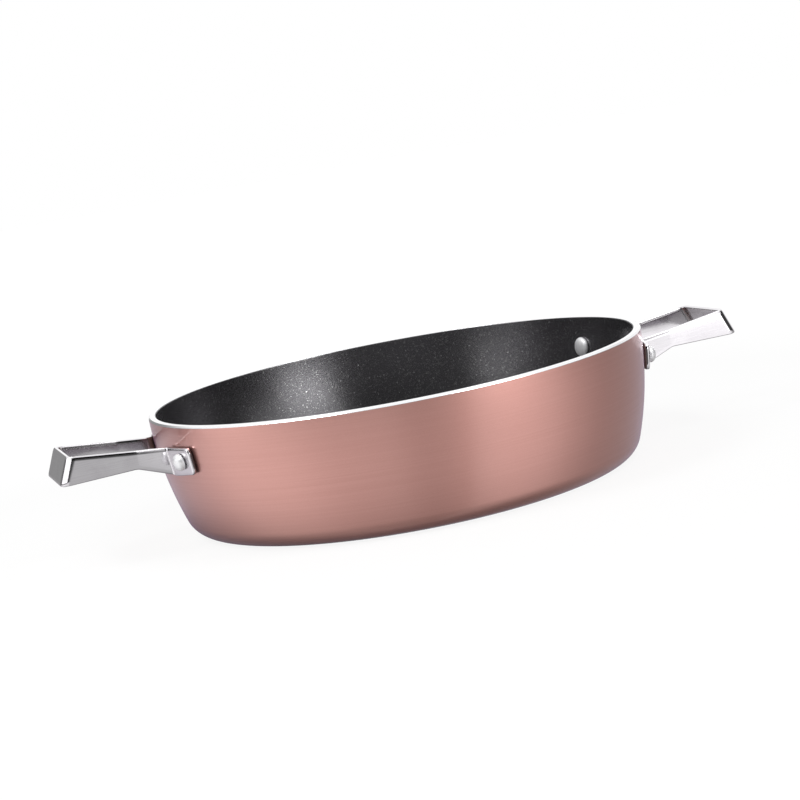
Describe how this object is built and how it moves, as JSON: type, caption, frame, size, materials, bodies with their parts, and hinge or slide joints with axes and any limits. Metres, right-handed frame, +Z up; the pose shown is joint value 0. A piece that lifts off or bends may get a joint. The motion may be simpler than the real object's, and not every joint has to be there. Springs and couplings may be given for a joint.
{
  "type": "shallow pan",
  "caption": "Shallow round non-stick pan with a barrelled rose-lacquered wall, a bare turned rim and base, and riveted steel loop handles on opposite sides.",
  "frame": {"origin": "centre of the base, on the plane that the pan stands on", "axes": "+X through the right-hand handle, +Y away from the pictured side, +Z up out of the open top"},
  "size_m": [0.397, 0.28, 0.0705],
  "materials": {
    "body_aluminium": "bare aluminium, turned bright at the rim and the base",
    "rose_lacquer": "satin metallic rose lacquer coat with a faint brushed grain round the wall",
    "nonstick": "satin black non-stick coat with fine pale flecks",
    "handle_steel": "polished stainless steel strip",
    "rivet_aluminium": "bright aluminium"
  },
  "bodies": {
    "root": {"pan_body": "body_aluminium", "outer_lacquer": "rose_lacquer", "nonstick_lining": "nonstick", "handle_left": "handle_steel", "handle_right": "handle_steel", "rivet_left_front": "rivet_aluminium", "rivet_left_back": "rivet_aluminium", "rivet_right_front": "rivet_aluminium", "rivet_right_back": "rivet_aluminium"}
  },
  "joints": []
}
